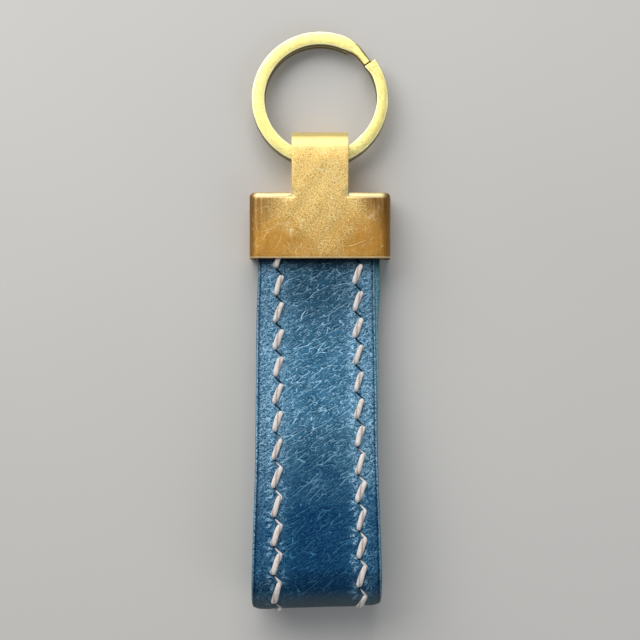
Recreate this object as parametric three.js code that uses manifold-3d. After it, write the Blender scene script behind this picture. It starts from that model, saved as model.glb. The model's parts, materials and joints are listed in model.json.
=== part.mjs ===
// A leather loop key fob: a folded brass clip clamps the two ends of a stitched leather loop,
// and its looped neck carries a flat-wire split ring.
// Millimetres, +Z up. The fob lies on its back: X is across the strap, +Y points from the strap
// to the ring, and the origin is the centre of the fob's footprint on the surface it lies on.
import * as THREE from "three";
import { mergeVertices } from "three/addons/utils/BufferGeometryUtils.js";
import Module from "manifold-3d";

const wasm = await Module();
wasm.setup();

// ---- Driving dimensions ----
// Every y that is called "from the mouth" is measured from the open end of the clip, +Y to the ring.

// Leather: two layers, glued and sewn, folded into a loop whose four thicknesses meet in the clip.
const STRAP_WIDTH = 25;
const LEATHER = 1.25; // one layer
const LAYER_GAP = 0.08; // glue line, and the play between the stacked ends
const LOOP_LENGTH = 70.3; // from the mouth to the far end of the fold
const LOOP_TOP = 13; // height of the leather over the fold
const LOOP_BOTTOM = 0.25; // height of the leather that runs along the surface, on its stitches
const STRAIGHT = 6; // the stack stays closed this far outside the mouth
const SETTLE = 12; // the lower leg comes down to the surface over this length

// Stitching: one row near each edge. Each thread lies in a groove and passes square holes.
const STITCH_INSET = 4.3; // from the strap's edge
const STITCH_PITCH = 5.5; // along the glue line
const FIRST_HOLE = { left: 8.4, right: 11.15 }; // along the glue line, half a pitch apart
const THREAD_WIDTH = 0.8;
const THREAD_HEIGHT = 0.45;
const GROOVE_WIDTH = 1.4;
const HOLE_SIZE = 1.2;
const GROOVE_DEPTH = { outer: 0.3, inner: 0.5 };
const THREAD_PLAY = 0.05; // between a thread and the floor of its groove
const NIP = { length: 0.5, depth: 0.2 }; // where the thread dips between two stitches

// Clip: one T-shaped blank of sheet brass, folded over at the neck.
const SHEET = 1.0;
const CLIP_WIDTH = 28.6;
const CLIP_LENGTH = 13.4;
const CLIP_HEIGHT = 7.4;
const SIDE_BEND = 2.0; // outer radius of the bends down to the side walls
const SHOULDER_BEND = 1.0; // outer radius of the bends down to the shoulder walls
const NECK_WIDTH = 11.4;
const NECK_TOP = 25.9; // from the mouth to the outside of the fold
const NECK_FILLET = 0.8;
const NECK_ROOT = 9.4; // from the mouth, where the neck has become the plates
const SEAM = 0.3; // open seam beside the neck and round the back plate

// Screws: two countersunk screws go through the leather into posts inside the front plate.
const SCREW_X = 8.4;
const SCREW_Y = 6.2; // from the mouth
const SCREW_HEAD_RADIUS = 1.9;
const SCREW_FACE = 0.1; // the head sits this deep in the back plate
const SCREW_RADIUS = 0.75;
const SCREW_TIP = 5.0; // height that the screw reaches inside the post
const DRIVER_SLOT = { width: 0.5, depth: 0.45 };
const POST_RADIUS = 1.5;
const POST_BORE = 0.9;
const POST_SEAT = 0.1; // between the post's top and the front plate
const ROOM = 0.3; // room round a post and a screw head

// Split ring: flat wire, two turns, lying in the neck with its far side on the surface.
const RING_DIAMETER = 28;
const WIRE_WIDTH = 2.7; // along the radius
const WIRE_THICK = 1.35; // one turn
const WIRE_EDGE = 0.3; // bevel of the wire's corners
const TURN_GAP = 0.06;
const RING_CENTRE = 32.8; // from the mouth, with the ring level
const UPPER_END = 36.5; // degrees from +X, where the upper turn ends
const STEP = { from: 59, to: 38 }; // degrees, the step down to the lower turn
const LOWER_END = 61; // degrees, where the lower turn ends
const RING_STEPS = 96;

// Bend of the leather where it leaves the clip.
const FLEX_OUT = 3.0; // from the mouth to the axis of the bend
const FLEX_GAP = 0.3; // between the clamped ends and the loop

// ---- Sizes that follow ----

const MID_HEIGHT = CLIP_HEIGHT / 2;
const GLUE_HALF = LAYER_GAP / 2;
const LAYER_OUT = GLUE_HALF + LEATHER; // from the glue line to a layer's far face
const GLUE_RISE = GLUE_HALF + LAYER_OUT; // from the middle of the stack to a glue line
const STACK_HALF = GLUE_RISE + LAYER_OUT; // half of the four layers
const FOLD_RADIUS = (LOOP_TOP - LOOP_BOTTOM) / 2; // outside of the leather
const RING_RADIUS = RING_DIAMETER / 2;
const RING_HALF_THICK = WIRE_THICK + TURN_GAP / 2;
const NECK_HALF = NECK_WIDTH / 2;
const BACK_HALF = CLIP_WIDTH / 2 - SHEET - SEAM; // half width of the back plate
const BACK_END = CLIP_LENGTH - SHEET - SEAM; // the back plate stops short of the shoulder walls

// The ring swings about the middle of the wire that lies in the neck.
const wireLow = -RING_RADIUS;
const wireHigh = -Math.sqrt((RING_RADIUS - WIRE_WIDTH) ** 2 - NECK_HALF ** 2);
const PIVOT_TO_CENTRE = -(wireLow + wireHigh) / 2;
const RING_PIVOT = RING_CENTRE - PIVOT_TO_CENTRE;
const RING_REACH = RING_RADIUS + PIVOT_TO_CENTRE;
// The ring leans until the far edge of its underside meets the surface.
const edgeAngle = Math.atan2(RING_HALF_THICK, RING_REACH);
const RING_LEAN = Math.asin(MID_HEIGHT / Math.hypot(RING_REACH, RING_HALF_THICK)) - edgeAngle;

// The mouth's place puts the origin in the middle of the fob's length.
const THREAD_PROUD = THREAD_PLAY + THREAD_HEIGHT - GROOVE_DEPTH.outer; // over the outer leather
const ringFar = RING_PIVOT + RING_REACH * Math.cos(RING_LEAN) + RING_HALF_THICK * Math.sin(RING_LEAN);
const MOUTH = (LOOP_LENGTH + THREAD_PROUD - ringFar) / 2;

// ---- Materials ----

const brass = new THREE.MeshStandardMaterial({ color: 0xc79a45, roughness: 0.42, metalness: 1 });
const ringBrass = new THREE.MeshStandardMaterial({ color: 0xe3cf83, roughness: 0.3, metalness: 1 });
const blueLeather = new THREE.MeshStandardMaterial({ color: 0x1f5580, roughness: 0.5, metalness: 0 });
const lining = new THREE.MeshStandardMaterial({ color: 0x2f6a86, roughness: 0.65, metalness: 0 });
const linen = new THREE.MeshStandardMaterial({ color: 0xdccfc8, roughness: 0.8, metalness: 0 });

// ---- Solids ----

const radians = THREE.MathUtils.degToRad;

// A closed geometry as a solid that can be joined and cut.
function solid(geometry) {
  const bare = geometry.index ? geometry.toNonIndexed() : geometry.clone();
  bare.deleteAttribute("normal");
  bare.deleteAttribute("uv");
  const merged = mergeVertices(bare, 1e-4);
  return new wasm.Manifold(
    new wasm.Mesh({
      numProp: 3,
      vertProperties: merged.attributes.position.array,
      triVerts: new Uint32Array(merged.index.array),
    }),
  );
}

function geometryOf(made) {
  const mesh = made.getMesh();
  const geometry = new THREE.BufferGeometry();
  geometry.setAttribute("position", new THREE.BufferAttribute(mesh.vertProperties, 3));
  geometry.setIndex(new THREE.BufferAttribute(mesh.triVerts, 1));
  const flat = geometry.toNonIndexed();
  flat.computeVertexNormals();
  return flat;
}

function box(x, y, z) {
  const geometry = new THREE.BoxGeometry(x[1] - x[0], y[1] - y[0], z[1] - z[0]);
  return geometry.translate((x[0] + x[1]) / 2, (y[0] + y[1]) / 2, (z[0] + z[1]) / 2);
}

// A shape drawn in (y, z), made `width` wide across X and centred on x.
function acrossX(shape, width, x = 0, curveSegments = 12) {
  const geometry = new THREE.ExtrudeGeometry(shape, { depth: width, bevelEnabled: false, curveSegments });
  const yAxis = new THREE.Vector3(0, 1, 0);
  const zAxis = new THREE.Vector3(0, 0, 1);
  const xAxis = new THREE.Vector3(1, 0, 0);
  const turn = new THREE.Matrix4().makeBasis(yAxis, zAxis, xAxis);
  return geometry.applyMatrix4(turn).translate(x - width / 2, 0, 0);
}

// A shape drawn in (x, z), made `length` long along +Y from the mouth.
function alongY(shape, length) {
  const geometry = new THREE.ExtrudeGeometry(shape, { depth: length, bevelEnabled: false, curveSegments: 8 });
  return geometry.rotateX(Math.PI / 2).translate(0, length, 0);
}

// A profile of [radius, z] points, from axis to axis, turned about a vertical axis at (x, y).
function turned(profile, x, y) {
  const points = profile.map(([radius, z]) => new THREE.Vector2(radius, z));
  return new THREE.LatheGeometry(points, 24).rotateX(Math.PI / 2).translate(x, y, 0);
}

// ---- Clip ----

function channelShape() {
  const half = CLIP_WIDTH / 2;
  const inner = SIDE_BEND - SHEET;
  const bendX = half - SIDE_BEND;
  const bendZ = CLIP_HEIGHT - SIDE_BEND;
  const shape = new THREE.Shape();
  shape.moveTo(half - SHEET, 0);
  shape.lineTo(half, 0);
  shape.absarc(bendX, bendZ, SIDE_BEND, 0, Math.PI / 2, false);
  shape.absarc(-bendX, bendZ, SIDE_BEND, Math.PI / 2, Math.PI, false);
  shape.lineTo(-half, 0);
  shape.lineTo(-half + SHEET, 0);
  shape.absarc(-bendX, bendZ, inner, Math.PI, Math.PI / 2, true);
  shape.absarc(bendX, bendZ, inner, Math.PI / 2, 0, true);
  return shape;
}

// The side view of the cap, with its rounded shoulder bend.
function capEnvelope() {
  const bendY = CLIP_LENGTH - SHOULDER_BEND;
  const bendZ = CLIP_HEIGHT - SHOULDER_BEND;
  const shape = new THREE.Shape();
  shape.moveTo(0, 0);
  shape.lineTo(CLIP_LENGTH, 0);
  shape.absarc(bendY, bendZ, SHOULDER_BEND, 0, Math.PI / 2, false);
  shape.lineTo(0, CLIP_HEIGHT);
  return acrossX(shape, CLIP_WIDTH + 2, 0, 6);
}

// The neck in side view: along the front, over the fold and back underneath.
function neckShape() {
  const outer = CLIP_HEIGHT / 2;
  const foldY = NECK_TOP - outer;
  const quarter = Math.PI / 2;
  const shape = new THREE.Shape();
  shape.moveTo(NECK_ROOT, SHEET);
  shape.lineTo(NECK_ROOT, 0);
  shape.absarc(foldY, outer, outer, -quarter, quarter, false);
  shape.lineTo(NECK_ROOT, CLIP_HEIGHT);
  shape.lineTo(NECK_ROOT, CLIP_HEIGHT - SHEET);
  shape.absarc(foldY, outer, outer - SHEET, quarter, -quarter, true);
  return shape;
}

// The small web in the inner corner between the neck and a shoulder, on the front sheet.
function neckFillet(side) {
  const low = CLIP_LENGTH - SHOULDER_BEND;
  const inside = side * (NECK_HALF - 0.5);
  const outside = side * (NECK_HALF + NECK_FILLET);
  const shape = new THREE.Shape();
  shape.moveTo(inside, low + NECK_FILLET);
  shape.lineTo(inside, low - 0.5);
  shape.lineTo(outside, low - 0.5);
  shape.lineTo(outside, low);
  shape.absarc(outside, low + NECK_FILLET, NECK_FILLET, -Math.PI / 2, side > 0 ? -Math.PI : 0, side > 0);
  const geometry = new THREE.ExtrudeGeometry(shape, { depth: SHEET, bevelEnabled: false, curveSegments: 5 });
  return geometry.translate(0, 0, CLIP_HEIGHT - SHEET);
}

function countersink(x) {
  const mouth = SCREW_HEAD_RADIUS + ROOM;
  const throat = SCREW_RADIUS + ROOM;
  const profile = [
    [0, -1],
    [mouth, -1],
    [mouth, 0],
    [throat, SHEET],
    [throat, SHEET + 1],
    [0, SHEET + 1],
  ];
  return turned(profile, x, SCREW_Y);
}

function clipBody() {
  const half = CLIP_WIDTH / 2;
  let made = solid(alongY(channelShape(), CLIP_LENGTH));
  for (const side of [-1, 1]) {
    const wall = [side * (NECK_HALF + SEAM), side * (half - SHEET / 2)].sort((a, b) => a - b);
    made = made.add(solid(box(wall, [CLIP_LENGTH - SHEET, CLIP_LENGTH], [0, CLIP_HEIGHT - SHEET / 2])));
  }
  made = made.intersect(solid(capEnvelope()));
  made = made.add(solid(acrossX(neckShape(), NECK_WIDTH)));
  made = made.add(solid(box([-BACK_HALF, BACK_HALF], [0, BACK_END], [0, SHEET])));
  for (const side of [-1, 1]) {
    made = made.add(solid(neckFillet(side)));
    made = made.subtract(solid(countersink(side * SCREW_X)));
  }
  return geometryOf(made);
}

function post(x) {
  const low = SHEET + ROOM;
  const high = CLIP_HEIGHT - SHEET - POST_SEAT;
  const boreEnd = SCREW_TIP + ROOM;
  const profile = [
    [0, boreEnd],
    [POST_BORE, boreEnd],
    [POST_BORE, low],
    [POST_RADIUS, low],
    [POST_RADIUS, high],
    [0, high],
  ];
  return turned(profile, x, SCREW_Y);
}

function screw(x) {
  const profile = [
    [0, SCREW_FACE],
    [SCREW_HEAD_RADIUS, SCREW_FACE],
    [SCREW_RADIUS, SHEET],
    [SCREW_RADIUS, SCREW_TIP],
    [0, SCREW_TIP],
  ];
  const reach = SCREW_HEAD_RADIUS + 1;
  const half = DRIVER_SLOT.width / 2;
  const depth = [SCREW_FACE - 1, SCREW_FACE + DRIVER_SLOT.depth];
  const slot = box([x - reach, x + reach], [SCREW_Y - half, SCREW_Y + half], depth);
  return geometryOf(solid(turned(profile, x, SCREW_Y)).subtract(solid(slot)));
}

// ---- Leather ----

// The glue line in side view: out along the upper leg, round the fold and back along the lower leg.
function gluePath() {
  const upper = MID_HEIGHT + GLUE_RISE;
  const lower = MID_HEIGHT - GLUE_RISE;
  const foldY = FOLD_RADIUS - LOOP_LENGTH;
  const foldZ = LOOP_BOTTOM + FOLD_RADIUS;
  const radius = FOLD_RADIUS - LAYER_OUT;
  const span = -STRAIGHT - foldY;
  const down = -STRAIGHT - SETTLE;
  const path = new THREE.Path();
  path.moveTo(0, upper);
  path.lineTo(-STRAIGHT, upper);
  path.bezierCurveTo(-STRAIGHT - span * 0.4, upper, foldY + span * 0.45, foldZ + radius, foldY, foldZ + radius);
  path.absarc(foldY, foldZ, radius, Math.PI / 2, (3 * Math.PI) / 2, false);
  path.lineTo(down, foldZ - radius);
  path.bezierCurveTo(down + SETTLE / 2, foldZ - radius, -STRAIGHT - SETTLE / 2, lower, -STRAIGHT, lower);
  path.lineTo(0, lower);
  return path;
}

const glue = gluePath();
glue.arcLengthDivisions = 600;
const GLUE_LENGTH = glue.getLength();

// Facets along each piece of the glue line, and the places where they meet.
const GLUE_FACETS = [1, 10, 12, 1, 4, 1];
const FACET_PLACES = [];
glue.curves.forEach((curve, i) => {
  const start = i === 0 ? 0 : glue.getCurveLengths()[i - 1];
  const each = curve.getLength() / GLUE_FACETS[i];
  for (let k = 0; k < GLUE_FACETS[i]; k += 1) FACET_PLACES.push(start + k * each);
});

// A place on the glue line, with the unit vector that points out of the loop there.
function placeAt(along) {
  const tangent = glue.getTangentAt(along / GLUE_LENGTH);
  return { point: glue.getPointAt(along / GLUE_LENGTH), out: new THREE.Vector2(tangent.y, -tangent.x) };
}

// The strip of side view between two distances out of the glue line, from one place to another.
function strip(from, to, near, far) {
  const between = FACET_PLACES.filter((place) => place > from + 0.05 && place < to - 0.05);
  const places = [from, ...between, to].map(placeAt);
  const line = (distance) => places.map(({ point, out }) => point.clone().addScaledVector(out, distance));
  return new THREE.Shape([...line(near), ...line(far).reverse()]);
}

const ROWS = [
  { name: "left", x: STITCH_INSET - STRAP_WIDTH / 2, first: FIRST_HOLE.left },
  { name: "right", x: STRAP_WIDTH / 2 - STITCH_INSET, first: FIRST_HOLE.right },
];

function holePlaces(first) {
  const count = Math.floor((GLUE_LENGTH - 2 * first) / STITCH_PITCH) + 1;
  return Array.from({ length: count }, (_, i) => first + i * STITCH_PITCH);
}

// A square bar through the leather at a place on the glue line, between two distances out of it.
function barAt(along, x, size, length, near, far) {
  const { point, out } = placeAt(along);
  const bar = new THREE.BoxGeometry(size, length, far - near).translate(0, 0, (near + far) / 2);
  return bar.rotateX(Math.atan2(-out.x, out.y)).translate(x, point.x, point.y);
}

// The clip's clamped stack, with its round nose about the axis of the bend, seen from the side.
function noseShape(radius) {
  const shape = new THREE.Shape();
  shape.moveTo(BACK_END, MID_HEIGHT - radius);
  shape.lineTo(BACK_END, MID_HEIGHT + radius);
  shape.absarc(-FLEX_OUT, MID_HEIGHT, radius, Math.PI / 2, (3 * Math.PI) / 2, false);
  return shape;
}

function looseLayer(near, far, grooveFloor, grooveTop) {
  let made = solid(acrossX(strip(0, GLUE_LENGTH, near, far), STRAP_WIDTH));
  made = made.subtract(solid(acrossX(noseShape(STACK_HALF + FLEX_GAP), STRAP_WIDTH + 2)));
  for (const { x, first } of ROWS) {
    const places = holePlaces(first);
    const start = places[0] - GROOVE_WIDTH / 2;
    const end = places.at(-1) + GROOVE_WIDTH / 2;
    made = made.subtract(solid(acrossX(strip(start, end, grooveFloor, grooveTop), GROOVE_WIDTH, x)));
    for (const place of places) {
      made = made.subtract(solid(barAt(place, x, HOLE_SIZE, HOLE_SIZE, -LAYER_OUT, LAYER_OUT)));
    }
  }
  return geometryOf(made);
}

// One layer of a clamped end, between two heights from the middle of the stack.
function clampedLayer(low, high) {
  let made = solid(acrossX(noseShape(STACK_HALF), STRAP_WIDTH));
  const height = [MID_HEIGHT + low, MID_HEIGHT + high];
  made = made.intersect(solid(box([-STRAP_WIDTH, STRAP_WIDTH], [-STRAIGHT, BACK_END], height)));
  for (const side of [-1, 1]) {
    const hole = [
      [0, 0],
      [POST_RADIUS + ROOM, 0],
      [POST_RADIUS + ROOM, CLIP_HEIGHT],
      [0, CLIP_HEIGHT],
    ];
    made = made.subtract(solid(turned(hole, side * SCREW_X, SCREW_Y)));
  }
  return geometryOf(made);
}

// A thread: a line of stitches on each face of the strap, joined through the holes.
function thread({ x, first }) {
  const places = holePlaces(first);
  const start = places[0] - THREAD_WIDTH / 2;
  const end = places.at(-1) + THREAD_WIDTH / 2;
  const outFloor = LAYER_OUT - GROOVE_DEPTH.outer + THREAD_PLAY;
  const inFloor = -LAYER_OUT + GROOVE_DEPTH.inner - THREAD_PLAY;
  const outTop = outFloor + THREAD_HEIGHT;
  const inTop = inFloor - THREAD_HEIGHT;
  let made = solid(acrossX(strip(start, end, outFloor, outTop), THREAD_WIDTH, x));
  made = made.add(solid(acrossX(strip(start, end, inTop, inFloor), THREAD_WIDTH, x)));
  for (const place of places) {
    const reach = THREAD_HEIGHT / 2;
    const bar = barAt(place, x, THREAD_WIDTH, THREAD_WIDTH, inFloor - reach, outFloor + reach);
    made = made.add(solid(bar));
  }
  for (const place of places.slice(1, -1)) {
    made = made.subtract(solid(barAt(place, x, 2, NIP.length, outTop - NIP.depth, outTop + 1)));
  }
  return geometryOf(made);
}

// ---- Split ring: the wire's section, swept clockwise from the end of the upper turn ----

function wireSection() {
  const w = WIRE_WIDTH / 2;
  const t = WIRE_THICK / 2;
  const e = WIRE_EDGE;
  return new THREE.Shape([
    new THREE.Vector2(-w, -t + e),
    new THREE.Vector2(-w + e, -t),
    new THREE.Vector2(w - e, -t),
    new THREE.Vector2(w, -t + e),
    new THREE.Vector2(w, t - e),
    new THREE.Vector2(w - e, t),
    new THREE.Vector2(-w + e, t),
    new THREE.Vector2(-w, t - e),
  ]);
}

function splitRing() {
  const turnHeight = (WIRE_THICK + TURN_GAP) / 2;
  const stepStart = UPPER_END + 360 - STEP.from;
  const stepEnd = UPPER_END + 360 - STEP.to;
  const sweep = UPPER_END + 720 - LOWER_END;
  const geometry = new THREE.ExtrudeGeometry(wireSection(), {
    depth: sweep,
    steps: RING_STEPS,
    bevelEnabled: false,
  });
  const position = geometry.attributes.position;
  for (let i = 0; i < position.count; i += 1) {
    const turnedBy = position.getZ(i);
    const radius = RING_RADIUS - WIRE_WIDTH / 2 + position.getX(i);
    const fall = THREE.MathUtils.smoothstep(turnedBy, stepStart, stepEnd);
    const angle = radians(UPPER_END - turnedBy);
    const height = position.getY(i) + turnHeight * (1 - 2 * fall);
    position.setXYZ(i, radius * Math.cos(angle), radius * Math.sin(angle), height);
  }
  return geometry;
}

// ---- Assembly ----

function named(name, geometry, material) {
  const mesh = new THREE.Mesh(geometry, material.clone());
  mesh.name = name;
  return mesh;
}

const fob = new THREE.Group();
fob.name = "key_fob";

const clip = new THREE.Group();
clip.name = "clip";
clip.position.y = MOUTH;
clip.add(named("clip_body", clipBody(), brass));
for (const [name, side] of [["left", -1], ["right", 1]]) {
  clip.add(named(`${name}_post`, post(side * SCREW_X), brass));
  clip.add(named(`${name}_screw`, screw(side * SCREW_X), brass));
}
const outerFar = STACK_HALF;
const outerNear = GLUE_RISE + GLUE_HALF;
const liningFar = GLUE_RISE - GLUE_HALF;
clip.add(named("outer_front_end", clampedLayer(outerNear, outerFar), blueLeather));
clip.add(named("lining_front_end", clampedLayer(GLUE_HALF, liningFar), lining));
clip.add(named("lining_back_end", clampedLayer(-liningFar, -GLUE_HALF), lining));
clip.add(named("outer_back_end", clampedLayer(-outerFar, -outerNear), blueLeather));
fob.add(clip);

const strap = new THREE.Group();
strap.name = "strap";
strap.position.y = MOUTH;
const outGroove = LAYER_OUT - GROOVE_DEPTH.outer;
const inGroove = -LAYER_OUT + GROOVE_DEPTH.inner;
strap.add(named("outer_loop", looseLayer(GLUE_HALF, LAYER_OUT, outGroove, LAYER_OUT + 1), blueLeather));
strap.add(named("lining_loop", looseLayer(-LAYER_OUT, -GLUE_HALF, -GLUE_RISE, inGroove), lining));
for (const row of ROWS) {
  strap.add(named(`${row.name}_thread`, thread(row), linen));
}
fob.add(strap);

const ring = new THREE.Group();
ring.name = "ring";
ring.position.set(0, MOUTH + RING_PIVOT, MID_HEIGHT);
ring.rotation.x = -RING_LEAN;
const wire = named("split_ring", splitRing(), ringBrass);
wire.position.y = PIVOT_TO_CENTRE;
ring.add(wire);
fob.add(ring);

export default fob;
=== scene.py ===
"""Look of the leather key fob: brass clip and split ring, two-layer stitched leather loop."""

import json
import math

import bmesh
import bpy
import numpy as np
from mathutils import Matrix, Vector


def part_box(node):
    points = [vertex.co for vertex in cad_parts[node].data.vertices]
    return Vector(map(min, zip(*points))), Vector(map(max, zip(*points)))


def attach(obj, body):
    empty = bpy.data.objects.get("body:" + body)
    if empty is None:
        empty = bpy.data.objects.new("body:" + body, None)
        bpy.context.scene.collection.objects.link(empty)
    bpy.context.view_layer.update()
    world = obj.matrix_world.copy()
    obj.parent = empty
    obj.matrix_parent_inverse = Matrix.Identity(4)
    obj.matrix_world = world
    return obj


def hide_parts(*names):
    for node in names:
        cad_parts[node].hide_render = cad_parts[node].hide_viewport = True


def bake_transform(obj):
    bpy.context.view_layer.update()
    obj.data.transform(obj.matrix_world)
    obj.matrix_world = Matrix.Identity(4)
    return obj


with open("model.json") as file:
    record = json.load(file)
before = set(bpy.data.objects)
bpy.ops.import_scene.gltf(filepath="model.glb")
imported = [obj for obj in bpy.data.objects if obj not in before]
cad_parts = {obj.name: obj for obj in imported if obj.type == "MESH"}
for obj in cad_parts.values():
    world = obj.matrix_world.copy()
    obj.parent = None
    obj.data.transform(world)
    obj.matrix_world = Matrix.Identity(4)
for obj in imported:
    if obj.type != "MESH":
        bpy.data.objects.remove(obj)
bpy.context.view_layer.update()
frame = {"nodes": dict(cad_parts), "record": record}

# ---- Sizes, in millimetres, with y measured from the clip's mouth towards the ring ----

MM = 0.001
clip_low, clip_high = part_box("clip_body")
loop_low, loop_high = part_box("outer_loop")
MOUTH = clip_low[1] / MM
CLIP_HALF = clip_high[0] / MM
CLIP_HEIGHT = clip_high[2] / MM
NECK_TOP = clip_high[1] / MM - MOUTH
LOOP_LENGTH = MOUTH - loop_low[1] / MM
LOOP_BOTTOM = loop_low[2] / MM
LOOP_TOP = loop_high[2] / MM
joints = frame["record"]["behaviour"]["joints"]
PIVOTS = {joint["name"]: [value / MM for value in joint["pos_m"]] for joint in joints}
RING_PIVOT = PIVOTS["ring_swing"]

SHEET = 1.0  # brass sheet
CLIP_LENGTH = 13.4
SIDE_BEND = 2.0
SHOULDER_BEND = 1.0
NECK_HALF = 5.7
SEAM = 0.3
BACK_END = CLIP_LENGTH - SHEET - SEAM
SCREW_X = 8.4
SCREW_Y = 6.2
SINK_RADIUS = 2.2
SINK_THROAT = 1.05
EDGE_BEVEL = 0.24

LEATHER = 1.25
LAYER_GAP = 0.08
GLUE_HALF = LAYER_GAP / 2
LAYER_OUT = GLUE_HALF + LEATHER
GLUE_RISE = GLUE_HALF + LAYER_OUT
STRAIGHT = 6.0  # both legs leave the clip straight, this far
SETTLE = 12.0  # length over which the lower leg comes down to the surface
CLAMPED = 11.8  # length of leather inside the clip
LEFT_HALF = 12.55  # the outer leather's width at the clip, on either side of the middle
RIGHT_HALF = 11.15
LINING_SHIFT = 0.12  # the lining is glued on this far to the right
FOLD_SKEW = 0.03  # the fold is a little out of square
FLOOR = -0.34  # the stitches under the strap stand a little below the clip's back

RING_RADIUS = 14.0
WIRE_WIDTH = 2.7
WIRE_THICK = 1.35
TURN_GAP = 0.06
UPPER_END = 36.5  # angles round the ring, in degrees from the x axis
STEP_FROM = 59.0
STEP_TO = 38.0
LOWER_END = 61.0

RING_INNER = RING_RADIUS - WIRE_WIDTH
TO_CENTRE = (RING_RADIUS + math.sqrt(RING_INNER**2 - NECK_HALF**2)) / 2
RING_REACH = RING_RADIUS + TO_CENTRE
RING_HALF = WIRE_THICK + TURN_GAP / 2
RING_LEAN = math.asin(RING_PIVOT[2] / math.hypot(RING_REACH, RING_HALF))
RING_LEAN -= math.atan2(RING_HALF, RING_REACH)  # the ring rests on the surface at its far side

rng = np.random.default_rng(7)


def smooth(value, low, high):
    """0 below low, 1 above high, and a smooth step between them."""
    t = np.clip((np.asarray(value, float) - low) / (high - low), 0, 1)
    return t * t * (3 - 2 * t)


def bell(value, width):
    """1 at zero, falling smoothly to almost 0 at twice the width."""
    return np.exp(-((value / width) ** 2))


def metres(points):
    """Millimetres from the clip's mouth to metres in the shared frame."""
    return (np.asarray(points, float) + np.array([0, MOUTH, 0])) * MM


def added(name, data):
    """A new object in the scene, made of this mesh, camera or light."""
    made = bpy.data.objects.new(name, data)
    bpy.context.collection.objects.link(made)
    return made


# ---- Camera: straight above the fob, with the ring at the top of the picture ----

LENS = 67.7
CAMERA_HEIGHT = 250.0
LOOKED_AT = -12.44  # from the clip's mouth, along the strap


def make_camera():
    data = bpy.data.cameras.new("camera")
    data.sensor_width = 36
    data.lens = LENS
    data.clip_start = 0.01
    data.clip_end = 10
    camera = added("camera", data)
    camera.location = (0, (MOUTH + LOOKED_AT) * MM, CAMERA_HEIGHT * MM)
    bpy.context.scene.camera = camera


make_camera()

# ---- Node materials: colours are linear, and scales are for each millimetre ----

RIDGE_WIDTH = 4.0  # how many times wider a crease's ridge is than its line


def tinted(colour, factor, other=(0, 0, 0), share=0.0):
    """A colour made darker or lighter, with a share of another one added."""
    return [factor * part + share * added for part, added in zip(colour, other)]


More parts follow.
